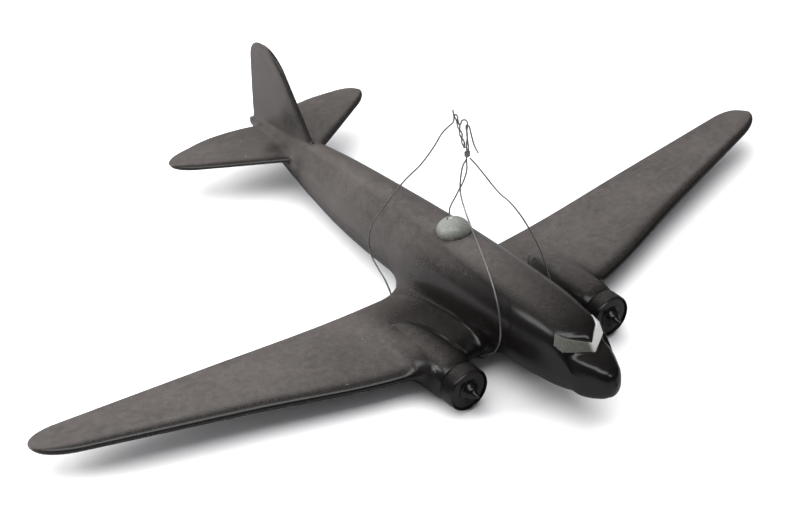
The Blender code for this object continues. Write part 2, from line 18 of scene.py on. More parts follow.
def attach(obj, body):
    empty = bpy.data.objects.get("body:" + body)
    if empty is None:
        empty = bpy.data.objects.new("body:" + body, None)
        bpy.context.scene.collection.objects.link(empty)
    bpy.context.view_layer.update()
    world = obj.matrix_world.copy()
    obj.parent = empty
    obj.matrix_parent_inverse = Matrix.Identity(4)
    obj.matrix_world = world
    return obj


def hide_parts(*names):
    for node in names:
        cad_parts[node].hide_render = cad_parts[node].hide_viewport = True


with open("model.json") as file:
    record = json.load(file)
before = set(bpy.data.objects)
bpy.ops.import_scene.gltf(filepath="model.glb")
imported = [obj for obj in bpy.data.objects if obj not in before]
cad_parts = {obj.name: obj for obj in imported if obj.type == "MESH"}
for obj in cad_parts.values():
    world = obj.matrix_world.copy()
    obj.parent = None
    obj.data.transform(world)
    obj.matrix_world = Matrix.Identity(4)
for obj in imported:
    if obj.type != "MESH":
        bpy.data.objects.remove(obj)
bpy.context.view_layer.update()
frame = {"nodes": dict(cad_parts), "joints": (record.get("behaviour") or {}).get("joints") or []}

MM = 0.001

# The level frame, from the left propeller hub's joint
ENGINE_X, COWL_FRONT, FACE_RECESS, ENGINE_Z = 39.5, 50.0, 1.0, -6.0
spin = next(joint for joint in frame["joints"] if joint["name"] == "left_hub_spin")
pitch = math.atan2(spin["axis"][2], -spin["axis"][1])
turned_down = Matrix.Rotation(-pitch, 4, "X")
hub_place = Vector((ENGINE_X, COWL_FRONT + FACE_RECESS, ENGINE_Z)) * MM
origin = Vector(spin["pos_m"]) - turned_down.to_3x3() @ hub_place
LEVEL = Matrix.Translation(origin) @ turned_down


def packed(place):
    """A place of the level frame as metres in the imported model's frame."""
    return LEVEL @ (Vector(place) * MM)


# ---------------------------------------------------------------- camera

CAMERA_PLACE = (-0.42023, -0.53289, 0.52436)
CAMERA_ANGLES = (52.912, -0.106, -37.595)


def make_camera():
    data = bpy.data.cameras.new("camera")
    data.lens, data.sensor_width = 85.0, 36.0
    data.clip_start, data.clip_end = 0.05, 20.0
    camera = bpy.data.objects.new("camera", data)
    camera.location = CAMERA_PLACE
    camera.rotation_euler = [math.radians(angle) for angle in CAMERA_ANGLES]
    bpy.context.scene.collection.objects.link(camera)
    bpy.context.scene.camera = camera


make_camera()


# ---------------------------------------------------------------- helpers

def smooth_curve(table, at):
    """Reads every column of a table at positions in its first column, along smooth curves."""
    table = np.array(table, float)
    where, values = table[:, 0], table[:, 1:]
    steps = np.diff(where)[:, None]
    slopes = np.diff(values, axis=0) / steps
    middle = (slopes[:-1] * steps[1:] + slopes[1:] * steps[:-1]) / (steps[1:] + steps[:-1])
    tangents = np.vstack([slopes[:1], middle, slopes[-1:]])
    at = np.clip(np.atleast_1d(at), where[0], where[-1])
    i = np.clip(np.searchsorted(where, at, side="right") - 1, 0, len(where) - 2)
    h = steps[i]
    t = (at - where[i])[:, None] / h
    a = (1 + 2 * t) * (1 - t) ** 2
    b = t * (1 - t) ** 2
    c = t * t * (3 - 2 * t)
    d = t * t * (t - 1)
    return a * values[i] + b * h * tangents[i] + c * values[i + 1] + d * h * tangents[i + 1]


def link(obj, body, *nodes, slot=None):
    """Puts a piece in the scene, on its body, in place of CAD nodes."""
    bpy.context.scene.collection.objects.link(obj)
    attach(obj, body)
    if nodes:
        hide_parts(*nodes)
    return obj


def ramp(low, high, t):
    """0 below low, 1 above high, and a smooth rise between."""
    t = np.clip((t - low) / (high - low), 0.0, 1.0)
    return t * t * (3 - 2 * t)


# ---------------------------------------------------------------- wires (the cords)

WIRE_DIAMETER = 0.7
SLING_RIGHT = [
    (-0.6, 98.7, 67.6), (-1.9, 99.6, 64.6), (-3.6, 99.0, 60.6), (-5.7, 97.0, 54.6),
    (-7.4, 92.6, 49.6), (-9.3, 86.0, 44.5), (-11.4, 78.0, 39.3), (-13.6, 70.2, 33.6),
    (-16.0, 62.8, 27.7), (-18.2, 57.0, 21.0), (-19.7, 54.1, 14.0), (-20.3, 53.9, 8.0),
    (-19.9, 55.8, 3.6), (-19.2, 58.6, -0.9), (-18.9, 62.0, -4.4), (-18.9, 66.0, -8.6),
    (-19.0, 71.0, -10.8), (-19.3, 82.0, -11.8), (-20.2, 97.0, -12.0), (-21.0, 112.0, -11.4),
    (-21.5, 121.5, -10.6), (-21.8, 126.2, -9.0), (-22.0, 127.6, -6.0), (-22.2, 130.2, -2.2),
    (-22.5, 135.4, 2.4), (-22.6, 140.0, 7.6), (-22.0, 141.8, 13.4), (-21.0, 141.8, 18.2),
    (-19.3, 140.4, 23.8), (-17.2, 137.6, 29.6), (-13.8, 133.4, 38.2), (-10.7, 128.6, 46.7),
    (-7.4, 122.0, 56.0), (-4.5, 115.6, 67.4), (-2.9, 111.8, 75.2), (-2.1, 108.2, 79.8),
    (-1.7, 106.0, 82.6), (-1.5, 105.8, 84.8), (-1.4, 106.2, 86.4), (-1.3, 106.8, 87.8),
]
SLING_LEFT = [
    (0.1, 99.9, 67.6), (1.4, 101.4, 64.4), (4.4, 105.0, 57.3), (7.9, 112.2, 45.6),
    (10.8, 118.2, 38.2), (13.2, 124.4, 29.6), (15.9, 130.4, 22.0), (18.8, 135.6, 14.6),
    (20.8, 137.8, 7.6), (21.8, 136.0, 1.8), (22.1, 131.6, -2.6), (22.0, 128.0, -6.0),
    (21.8, 126.4, -9.0), (21.4, 121.5, -10.6), (20.8, 112.0, -11.6), (20.0, 97.0, -12.6),
    (19.2, 82.0, -13.1), (18.8, 71.0, -13.0), (18.6, 65.6, -12.0), (18.9, 62.4, -8.6),
    (19.6, 61.6, -3.6), (20.3, 63.6, 2.6), (20.6, 67.4, 9.0), (19.9, 69.8, 15.2),
    (18.2, 70.2, 22.2), (15.3, 70.2, 30.2), (10.7, 71.2, 41.0), (7.8, 74.4, 48.6),
    (6.2, 79.6, 53.2), (5.8, 84.8, 54.4), (5.1, 88.0, 56.6), (3.4, 92.6, 61.4),
    (1.6, 97.0, 66.0), (0.7, 98.4, 67.6),
]
KNOT = (0.0, 99.2, 69.5)
WRAP_RADIUS, WRAP_HEIGHT, WRAP_TURNS, WRAP_POINTS = 0.9, 2.3, 4.2, 90
EYE = (0.0, 106.2, 84.1)
EYE_FOOT = (0.0, 100.9, 71.6)
EYE_RADIUS, EYE_THROAT = 1.1, 1.4    # the round eye, and how far below it the twist ends
EYE_MOUTH = 40                       # half of the angle that the eye leaves open, in degrees
TWIST_RADIUS, TWIST_TURNS = 0.55, 1.5
HANGER_LINK = [
    (1.4, 105.0, 80.6), (1.2, 104.2, 82.6), (0.9, 102.6, 84.0), (0.5, 100.6, 84.9),
    (0.3, 99.3, 84.6), (0.3, 99.3, 82.6), (0.5, 100.0, 79.6), (0.6, 99.6, 75.6),
    (0.5, 99.0, 72.9), (0.4, 98.9, 71.4),
]
HANGER_TAIL = [
    (-0.7, 98.4, 71.4), (-0.9, 98.6, 73.6), (-1.0, 98.0, 77.4), (-0.9, 98.0, 80.6),
    (-0.9, 98.7, 83.0), (-0.8, 98.2, 84.4), (-0.5, 97.2, 84.0), (-0.2, 96.9, 82.2),
    (0.0, 96.0, 79.0), (0.0, 94.3, 75.6), (0.0, 91.8, 73.2),
]


def eye_route(strand_points=7, eye_points=10):
    """A hairpin of two twisted strands that open into a round eye at their top."""
    foot, eye = Vector(EYE_FOOT), Vector(EYE)
    up = (eye - foot).normalized()
    ahead = Vector((1, 0, 0))
    side = up.cross(ahead).normalized()
    reach = (eye - foot).length - EYE_RADIUS - EYE_THROAT
    legs = []
    for start in (0.0, math.pi):
        leg = []
        for k in range(strand_points):
            t = k / (strand_points - 1)
            angle = start + 2 * math.pi * TWIST_TURNS * (t - 1)
            leg.append(foot + up * reach * t
                       + (side * math.cos(angle) + ahead * math.sin(angle)) * TWIST_RADIUS)
        legs.append(leg)
    mouth = math.radians(EYE_MOUTH)
    loop = []
    for k in range(eye_points):
        angle = -math.pi / 2 + mouth + (2 * math.pi - 2 * mouth) * k / (eye_points - 1)
        loop.append(eye + (side * math.cos(angle) + up * math.sin(angle)) * EYE_RADIUS)
    return [tuple(p) for p in legs[0] + loop + legs[1][::-1]]


def wrap_route():
    """The coil that binds the knot."""
    coil = []
    for k in range(WRAP_POINTS):
        angle = 2 * math.pi * WRAP_TURNS * k / (WRAP_POINTS - 1)
        coil.append((KNOT[0] + WRAP_RADIUS * math.cos(angle),
                     KNOT[1] + WRAP_RADIUS * math.sin(angle),
                     KNOT[2] + WRAP_HEIGHT * (k / (WRAP_POINTS - 1) - 0.5)))
    return coil


def wire(name, route, material, spacing=0.8):
    """A round wire along a smooth curve through the route's points, and its length in metres.
    spacing is how far apart the curve's own points are, in millimetres."""
    route = np.array(route, float)
    runs = np.linalg.norm(np.diff(route, axis=0), axis=1)
    table = np.column_stack([np.concatenate([[0], np.cumsum(runs)]), route])
    line = smooth_curve(table, np.linspace(0, table[-1, 0], int(table[-1, 0] / spacing) + 2))
    curve = bpy.data.curves.new(name, "CURVE")
    curve.dimensions = "3D"
    curve.bevel_depth = WIRE_DIAMETER / 2 * MM
    curve.bevel_resolution = 3
    curve.use_fill_caps = True
    curve.materials.append(material)
    spline = curve.splines.new("POLY")
    spline.points.add(len(line) - 1)
    for point, place in zip(spline.points, line):
        point.co = (*packed(place), 1)
    spline.use_smooth = True
    length = float(np.linalg.norm(np.diff(line, axis=0), axis=1).sum()) * MM
    return bpy.data.objects.new(f"{name}_wire", curve), length


# ---------------------------------------------------------------- forms of the airframe

# Fuselage: station, half width, crown height, keel height, corner exponent
# (1 is an ellipse, less is squarer), and how far the ring is swept into a chevron
FUSELAGE = [
    (5.0, 0.9, 5.3, 2.2, 1.00, 0.0),
    (5.7, 2.6, 7.4, -0.4, 0.95, 0.0),
    (7.8, 5.1, 9.6, -3.0, 0.72, 0.0),
    (11.3, 7.4, 11.7, -4.9, 0.54, 0.2),
    (14.9, 9.5, 13.0, -5.8, 0.46, 0.4),
    (17.4, 10.7, 13.9, -6.1, 0.44, 0.6),
    (18.4, 11.0, 14.6, -6.2, 0.46, 0.6),
    (20.4, 11.6, 18.3, -6.5, 0.56, 0.6),
    (21.6, 12.0, 19.4, -6.8, 0.66, 0.5),
    (25.0, 12.9, 21.0, -7.9, 0.70, 0.3),
    (31.0, 14.1, 22.7, -9.5, 0.76, 0.0),
    (40.0, 15.7, 24.4, -10.7, 0.84, 0.0),
    (50.0, 17.2, 25.5, -11.3, 0.90, 0.0),
    (62.0, 17.8, 26.2, -11.8, 0.94, 0.0),
    (80.0, 18.0, 26.4, -12.0, 0.96, 0.0),
    (110.0, 17.9, 25.9, -12.0, 0.97, 0.0),
    (140.0, 17.1, 24.8, -12.0, 0.98, 0.0),
    (160.0, 16.2, 23.9, -11.6, 1.00, 0.0),
    (180.0, 14.8, 22.8, -9.9, 1.00, 0.0),
    (200.0, 12.7, 21.3, -6.6, 1.00, 0.0),
    (220.0, 9.8, 19.1, -2.7, 1.00, 0.0),
    (240.0, 6.5, 16.5, 1.6, 1.00, 0.0),
    (255.0, 3.8, 14.2, 5.0, 1.00, 0.0),
    (263.0, 2.6, 13.0, 7.0, 1.00, 0.0),
    (266.4, 1.9, 12.3, 8.0, 1.00, 0.0),
    (267.9, 0.9, 11.2, 9.2, 1.00, 0.0),
]
WAIST = 0.51             # the widest level, as a share of the way from the crown to the keel
# Where its rings are: from, to and how many, and then the last ones at the tail
FUSELAGE_SPANS = [(5.0, 8.0, 12), (8.0, 16.0, 24), (16.0, 32.0, 80), (32.0, 264.0, 214)]
TAIL_START, TAIL_END, TAIL_RINGS = 264.0, 268.3, 8

# Wing: distance out from the centre line, leading edge, trailing edge, thickness, and the
# share of the thickness that is above the chord line
WING = [
    (4.0, 66.0, 124.2, 10.4, 0.70),
    (24.0, 66.8, 124.2, 10.4, 0.70),
    (34.0, 67.6, 124.3, 9.8, 0.66),
    (52.0, 70.8, 124.8, 8.4, 0.56),
    (120.0, 92.2, 129.7, 6.6, 0.56),
    (185.0, 112.4, 134.4, 4.8, 0.56),
]
HALF_SPAN, TIP_LENGTH = 201.0, 17.0
CHORD_Z, DIHEDRAL, WASH = -7.6, 0.043, -1.0
WING_SPANS = [(7.5, 27, 28), (27, 41, 50), (41, 60, 28), (60, HALF_SPAN - TIP_LENGTH, 50)]

# Stabiliser and fin: the same columns. The fin's first column is its height, and it is
# FIN_SLIM as thick as its table says
STABILISER = [(3.0, 216.6, 257.6, 4.6, 0.56), (12.0, 221.9, 260.2, 4.6, 0.56),
              (30.0, 232.5, 262.6, 4.1, 0.56), (47.0, 242.6, 260.6, 3.4, 0.56)]
STABILISER_SPAN, STABILISER_TIP, STABILISER_Z = 55.6, 10.0, 11.8
FIN = [(8.0, 207.0, 264.8, 6.4, 0.5), (20.0, 215.0, 264.8, 6.0, 0.5),
       (49.0, 235.3, 263.6, 4.2, 0.5)]
FIN_TOP, FIN_TIP, FIN_SLIM = 57.6, 11.0, 0.9

# Nacelle: station, half width, crown height, keel height
NACELLE = [
    (58.3, 9.3, 3.3, -15.3),
    (61.0, 9.9, 4.1, -15.7),
    (67.0, 10.5, 4.7, -15.9),
    (76.0, 10.5, 4.5, -15.8),
    (86.0, 9.6, 3.9, -15.2),
    (94.0, 7.8, 2.3, -14.0),
    (100.0, 5.4, 0.0, -12.2),
    (105.0, 2.0, -3.6, -9.5),
]
POD_FRONT, POD_END = NACELLE[0][0], NACELLE[-1][0]


class Form:
    """A closed shape: its points, in level millimetres, and its four-cornered faces."""

    def __init__(self, rings, caps=True):
        rings = np.array(rings, float)
        self.rows, self.count = rings.shape[:2]
        self.points = rings.reshape(-1, 3)
        k = np.arange(self.count)
        n = (k + 1) % self.count
        rows = np.arange(self.rows - 1)[:, None] * self.count
        self.faces = np.stack([rows + k, rows + n, rows + self.count + n,
                               rows + self.count + k], axis=-1).reshape(-1, 4)
        if self.volume() < 0:
            self.faces = self.faces[:, ::-1]
        self.tree = BVHTree.FromPolygons(self.points.tolist(), self.faces.tolist())
        self.buried = np.full(len(self.points), 1e9)

    def volume(self):
        a, b, c, d = (self.points[self.faces[:, k]] for k in range(4))
        return float(np.einsum("ij,ij->i", a, np.cross(b - d, c - a)).sum())

    def normals(self):
        """Smooth normals at the points."""
        a, b, c, d = (self.points[self.faces[:, k]] for k in range(4))
        across = np.cross(c - a, d - b)
        total = np.zeros_like(self.points)
        for k in range(4):
            np.add.at(total, self.faces[:, k], across)
        return total / np.maximum(np.linalg.norm(total, axis=1, keepdims=True), 1e-12)


def fuselage_ring(station, width, crown, keel, corner, sweep, count=216):
    """A whole ring, from the crown round by +X to the keel and back."""
    waist = crown - WAIST * (crown - keel)
    angle = math.pi / 2 - 2 * math.pi * np.arange(count) / count
    up = np.sin(angle) > 0
    power = np.where(up, corner, 0.5 + 0.5 * corner)
    across = np.sign(np.cos(angle)) * width * np.abs(np.cos(angle)) ** power
    rise = np.where(up, 1, -1) * np.abs(np.sin(angle)) ** power
    height = waist + rise * np.where(up, crown - waist, waist - keel)
    lift = ramp(0.1, 1.0, rise)
    return np.stack([across, station + sweep * np.abs(across) * lift, height], axis=1)


def spread(spans, last):
    """Positions spread evenly over each of the spans, (from, to, how many), then the last."""
    runs = [np.linspace(low, high, count, endpoint=False) for low, high, count in spans]
    return np.concatenate([*runs, last])


def fuselage_form():
    """The whole body, closed by a small round cap at each end."""
    stations = spread(FUSELAGE_SPANS, np.linspace(TAIL_START, TAIL_END, TAIL_RINGS))
    rings = [fuselage_ring(station, *row)
             for station, row in zip(stations, smooth_curve(FUSELAGE, stations))]
    nose_cap, tail_cap = (0, -0.35), (-1, 0.3)
    for end, reach in (nose_cap, tail_cap):
        last = rings[end]
        middle = last.mean(axis=0)
        for angle in np.linspace(0, math.pi / 2, 7)[1:]:
            ring = middle + (last - middle) * max(math.cos(angle), 1e-4)
            ring[:, 1] += reach * math.sin(angle)
            if end:
                rings.append(ring)
            else:
                rings.insert(0, ring)
    return Form(rings)


def aerofoil(lead, trail, lead_z, trail_z, thickness, top, steps=46):
    """A section with a blunt nose and a thin rounded tail, as (chordwise, height)."""
    fullest, tail_depth = 0.32, 0.13
    s = 0.5 - 0.5 * np.cos(np.pi * np.arange(steps + 1) / steps)
    front = (1 - np.clip(1 - s / fullest, 0, 1) ** 2.3) ** 0.47
    back = 1 - (1 - tail_depth) * np.clip((s - fullest) / (1 - fullest), 0, 1) ** 1.4
    depth = np.where(s < fullest, front, back)
    chord = max(trail - lead, 0.02)
    half = thickness * tail_depth / 2
    angle = np.linspace(0, np.pi, 8)[1:-1]
    middle = (top - 0.5) * thickness * tail_depth
    round_s = 1 + np.sin(angle) * half * 0.6 / chord
    along = np.concatenate([s, round_s, s[:0:-1]])
    height = np.concatenate([top * thickness * depth, middle + half * np.cos(angle),
                             (top - 1) * thickness * depth[:0:-1]])
    return np.stack([lead + along * chord, lead_z + along * (trail_z - lead_z) + height], axis=1)


def surface_sections(table, span, tip, lead_z, rise, wash, stations):
    """Sections of one flying surface from root to rounded tip: (distance out, section).

    Past the tip's start both edges run on as they did over the last run millimetres, while
    the section shrinks to nothing along a rounded outline.
    """
    start, run = span - tip, 10
    sections = []
    for out in stations:
        lead, trail, thickness, top = smooth_curve(table, min(out, start))[0]
        if out > start:
            ends = smooth_curve(table, [start - run, start])
            lead, trail = ends[1][:2] + (ends[1][:2] - ends[0][:2]) * (out - start) / run
            round_off = max(0.0, 1 - min(1.0, (out - start) / tip) ** 2.5) ** 0.4
            middle = (lead + trail) / 2
            lead = middle + (lead - middle) * round_off
            trail = middle + (trail - middle) * round_off
            thickness *= round_off ** 0.8
        height = lead_z + rise * out
        sections.append((out, aerofoil(lead, trail, height, height + wash, thickness, top)))
    return sections


def tip_stations(span, tip, count=22):
    """Positions along a tip, closer and closer together towards its end."""
    return [span - tip * (1 - math.sin(a)) for a in np.linspace(0, math.pi / 2, count)]


def wing_form(side):
    stations = spread(WING_SPANS, tip_stations(HALF_SPAN, TIP_LENGTH, 30))
    sections = surface_sections(WING, HALF_SPAN, TIP_LENGTH, CHORD_Z, DIHEDRAL, WASH, stations)
    return Form([[(side * out, y, z) for y, z in section] for out, section in sections])


def stabiliser_form(side):
    stations = spread([(3, STABILISER_SPAN - STABILISER_TIP, 50)],
                      tip_stations(STABILISER_SPAN, STABILISER_TIP))
    sections = surface_sections(STABILISER, STABILISER_SPAN, STABILISER_TIP, STABILISER_Z, 0, 0,
                                stations)
    return Form([[(side * out, y, z) for y, z in section] for out, section in sections])


def fin_form():
    stations = spread([(8, FIN_TOP - FIN_TIP, 50)], tip_stations(FIN_TOP, FIN_TIP))
    sections = surface_sections(FIN, FIN_TOP, FIN_TIP, 0, 0, 0, stations)
    return Form([[(h * FIN_SLIM, y, up) for y, h in section] for up, section in sections])


def nacelle_form(side):
    """A pod, narrowed to an edge at its end and closed by a slightly rounded front."""
    stations = np.linspace(POD_FRONT, POD_END, 64)
    rows = smooth_curve(NACELLE, stations)
    end_taper = (0.97, 0.88, 0.7, 0.05)
    rows[-len(end_taper):, 0] *= end_taper
    around = np.linspace(0, 2 * math.pi, 96, endpoint=False)
    rings = []
    for station, (width, crown, keel) in zip(stations, rows):
        middle, reach = (crown + keel) / 2, (crown - keel) / 2
        rings.append([(side * ENGINE_X + width * math.cos(a), station,
                       middle + reach * math.sin(a)) for a in around])
    lip = np.array(rings[0])
    middle = lip.mean(axis=0)
    for scale, back in ((0.985, -0.25), (0.95, -0.3), (0.9, -0.3), (0.02, -0.3)):
        ring = middle + (lip - middle) * scale
        ring[:, 1] += back
        rings.insert(0, ring.tolist())
    return Form(rings)


# ---------------------------------------------------------------- moulded fillets

# Depths inside a neighbour, in millimetres: points deeper than BURIED stay where they are,
# points deeper than SUNK_FROM sink with it, and faces deeper than HIDDEN are left out
BURIED, SUNK_FROM, HIDDEN = 4.0, 1.6, 2.6


def distances(tree, points):
    """Signed distances of points from a form (inside is negative) and their directions."""
    far = np.empty(len(points))
    away = np.empty_like(points)
    for k, point in enumerate(points):
        place, normal, _, gap = tree.find_nearest(Vector(point))
        offset = Vector(point) - place
        side = 1.0 if offset.dot(normal) >= 0 else -1.0
        far[k] = gap * side
        away[k] = normal if gap < 0.05 else offset * (side / gap)
    return far, away


def fillet(form, other, radius, steps=4):
    """Moves a form's points near another form onto one smooth surface that joins the two.

    radius(points) gives the size of the fillet. Both trees hold the forms as they were
    drawn, so the two sides of a fillet meet whichever is moved first.
    """
    low, high = other.points.min(axis=0) - 10, other.points.max(axis=0) + 10
    index = np.flatnonzero(np.all((form.points > low) & (form.points < high), axis=1))
    start, _ = distances(other.tree, form.points[index])
    form.buried[index] = np.minimum(form.buried[index], start)
    size = radius(form.points[index])
    moving = (start < size) & (start > -BURIED)
    index, start, size = index[moving], start[moving], size[moving]
    points = form.points[index].copy()
    level = np.minimum(0.0, 0.5 * (start + SUNK_FROM))
    for _ in range(steps):
        a, a_way = distances(form.tree, points)
        b, b_way = distances(other.tree, points)
        h = np.clip(0.5 + 0.5 * (b - a) / size, 0, 1)
        value = b * (1 - h) + a * h - size * h * (1 - h)
        slope = b_way * (1 - h)[:, None] + a_way * h[:, None]
        slope /= np.maximum((slope ** 2).sum(axis=1), 0.2)[:, None]
        points -= (value - level)[:, None] * slope
    form.points[index] = points


def groove(form, pod, width=2.6, depth=1.3):
    """Presses the upper surface down into a groove along a pod's inboard side."""
    low, high = pod.points.min(axis=0) - width, pod.points.max(axis=0) + width
    index = np.flatnonzero(np.all((form.points > low) & (form.points < high), axis=1)
                           & (form.points[:, 2] > ENGINE_Z + 1.0))
    gap, _ = distances(pod.tree, form.points[index])
    inboard = 1 - ramp(ENGINE_X - 2.0, ENGINE_X + 1.0, np.abs(form.points[index, 0]))
    press = ramp(0.0, 0.4, gap) * (1 - ramp(0.5, width, gap)) * inboard
    form.points[index, 2] -= depth * press


def moulding(name, form, material, side=0):
    """A piece of a form, without what is buried in its neighbours. Its shading is the whole
    form's, so no line shows where pieces meet. side keeps one half of it, +1 or -1."""
    normals = form.normals()
    keep = form.buried[form.faces].max(axis=1) > -HIDDEN
    if side:
        keep &= side * form.points[form.faces, 0].mean(axis=1) > 0
    faces = form.faces[keep]
    used, corners = np.unique(faces, return_inverse=True)
    corners = corners.reshape(faces.shape)
    place = np.array(LEVEL)
    points = form.points[used] * MM @ place[:3, :3].T + place[:3, 3]
    mesh = bpy.data.meshes.new(name)
    mesh.from_pydata(points.tolist(), [], corners.tolist())
    mesh.materials.append(material)
    mesh.shade_smooth()
    turned = normals[used] @ place[:3, :3].T
    mesh.normals_split_custom_set_from_vertices(turned.tolist())
    return bpy.data.objects.new(f"{name}_moulding", mesh)


def turned_form(profile, count=96):
    """A closed form turned about +Z from a profile of (radius, height)."""
    around = np.linspace(0, 2 * math.pi, count, endpoint=False)
    return Form([[(r * math.cos(a), r * math.sin(a), z) for a in around] for r, z in profile])


def rounded(profile, radius, steps=5):
    """A profile with its corners rounded by short arcs, for edges that catch the light."""
    profile = [Vector(p) for p in profile]
    soft = [profile[0]]
    for before, corner, after in zip(profile, profile[1:], profile[2:]):
        into, out = corner - before, after - corner
        cut = min(radius, 0.45 * into.length, 0.45 * out.length)
        start, end = corner - into.normalized() * cut, corner + out.normalized() * cut
        for k in range(steps + 1):
            t = k / steps
            soft.append(start * (1 - t) ** 2 + corner * 2 * t * (1 - t) + end * t ** 2)
    soft.append(profile[-1])
    return [tuple(p) for p in soft]


def turned_piece(name, profile, material, place, lean=90.0):
    """A turned piece on an axis that starts at a place in the level frame and leans ahead of
    straight up by so many degrees: 90 points it ahead, and less than 0 leans it aft."""
    form = turned_form(profile)
    mesh = bpy.data.meshes.new(name)
    turn = Matrix.Rotation(math.radians(lean), 4, "X")
    world = LEVEL @ Matrix.Translation(Vector(place) * MM) @ turn
    points = [world @ (Vector(p) * MM) for p in form.points]
    mesh.from_pydata([tuple(p) for p in points], [], form.faces.tolist())
    mesh.materials.append(material)
    bm = bmesh.new()
    bm.from_mesh(mesh)
    bmesh.ops.remove_doubles(bm, verts=bm.verts, dist=1e-7)
    bmesh.ops.dissolve_degenerate(bm, edges=bm.edges, dist=1e-8)
    bmesh.ops.recalc_face_normals(bm, faces=bm.faces)
    bm.to_mesh(mesh)
    bm.free()
    mesh.shade_smooth()
    return bpy.data.objects.new(f"{name}_turned", mesh)


# ---------------------------------------------------------------- materials

class Look:
    """A Principled material that is built node by node."""

    def __init__(self, name, roughness=0.4, metallic=0.0):
        self.material = bpy.data.materials.new(name)
        self.material.use_nodes = True
        self.tree = self.material.node_tree
        self.shader = self.tree.nodes["Principled BSDF"]
        self.set(self.shader, {"Roughness": roughness, "Metallic": metallic})
        self.place = self.node("ShaderNodeTexCoord").outputs["Object"]
        facing = self.node("ShaderNodeSeparateXYZ",
                           {"Vector": self.node("ShaderNodeNewGeometry").outputs["Normal"]})
        self.height, self.astern = facing.outputs["Z"], facing.outputs["Y"]
        parts = self.node("ShaderNodeSeparateXYZ", {"Vector": self.place}).outputs
        self.across, self.along, self.level = parts["X"], parts["Y"], parts["Z"]

    def plug(self, socket, value):
        """Gives a socket a value, or another node's output."""
        if isinstance(value, bpy.types.NodeSocket):
            self.tree.links.new(value, socket)
        else:
            socket.default_value = value

    def set(self, node, inputs):
        for name, value in inputs.items():
            self.plug(node.inputs[name], value)

    def node(self, kind, inputs=None, **settings):
        node = self.tree.nodes.new(kind)
        for name, value in settings.items():
            setattr(node, name, value)
        self.set(node, inputs or {})
        return node

    def noise(self, size, detail=3.0, stretch=None):
        """Noise whose features are about size millimetres across."""
        place = self.place
        if stretch:
            place = self.node("ShaderNodeMapping", {"Vector": place, "Scale": stretch}).outputs[0]
        made = self.node("ShaderNodeTexNoise", {"Vector": place, "Scale": 1000.0 / size,
                                                "Detail": detail, "Roughness": 0.6})
        return made.outputs["Fac"]

    def between(self, value, low, high, to_low=0.0, to_high=1.0):
        """A smooth change from to_low to to_high as a value goes from low to high."""
        made = self.node("ShaderNodeMapRange", {
            "Value": value, "From Min": low, "From Max": high, "To Min": to_low,
            "To Max": to_high}, interpolation_type="SMOOTHSTEP")
        return made.outputs["Result"]

    def math(self, operation, a, b, clamp=False):
        made = self.node("ShaderNodeMath", operation=operation, use_clamp=clamp)
        for socket, value in zip(made.inputs, (a, b)):
            self.plug(socket, value)
        return made.outputs[0]

    def times(self, a, b, clamp=False):
        return self.math("MULTIPLY", a, b, clamp)

    def mix(self, share, a, b):
        """A mix of two colours, each a triple or another node's output."""
        made = self.node("ShaderNodeMix", data_type="RGBA")
        factor, first, second, result = made.inputs[0], made.inputs[6], made.inputs[7], 2
        for socket, value in ((factor, share), (first, a), (second, b)):
            self.plug(socket, (*value, 1.0) if isinstance(value, tuple) else value)
        return made.outputs[result]

    def specks(self, spacing, radius, share):
        """Scattered round dots: their spacing and radius in millimetres, and the share of the
        places that hold one."""
        cells = self.node("ShaderNodeTexVoronoi", {"Vector": self.place,
                                                   "Scale": 1000.0 / spacing})
        near = self.between(cells.outputs["Distance"], 0.6 * radius / spacing, radius / spacing,
                            1.0, 0.0)
        lottery = self.node("ShaderNodeSeparateColor", {"Color": cells.outputs["Color"]})
        chosen = self.math("GREATER_THAN", lottery.outputs[0], 1.0 - share)
        return self.times(near, chosen)

    def patch(self, place, size, core, outside, inside):
        """One value in a round patch about a place in the level frame, another outside it.
        The change between them starts at the core, a share of the patch's size."""
        gap = self.node("ShaderNodeVectorMath", {0: self.place, 1: packed(place)},
                        operation="DISTANCE")
        return self.between(gap.outputs["Value"], core * size * MM, size * MM, inside, outside)

    def bump(self, height, depth, strength=1.0, after=None):
        """Relief so many millimetres deep, on top of another bump's if there is one."""
        inputs = {"Height": height, "Distance": depth * MM, "Strength": strength}
        if after:
            inputs["Normal"] = after
        return self.node("ShaderNodeBump", inputs).outputs["Normal"]


# Painted shade in the corners at the tail, where the dust is thinned so that they show darker:
# the place of each in the level frame, and its radius
TAIL_SHADE_CORNERS = [((-2.5, 229.0, 26.0), 13.0), ((-11.0, 230.0, 13.0), 11.0), ((-9.5, 214.0, 9.0), 9.0)]
# Rubbed patches on the moulding, in the same way
SCUFFS = [((-46.5, 63.0, 1.6), 3.4), ((-2.2, 76.8, 26.2), 2.2), ((0.4, 154.2, 24.2), 2.0)]
# Painted shade: the front of the crease beside the right pod, where the moulding's reflection is
# turned down so that the crease shows dark, and its radius
CREASE_SHADE, CREASE_SHADE_RADIUS = (-31.0, 69.0, 3.0), 13.0


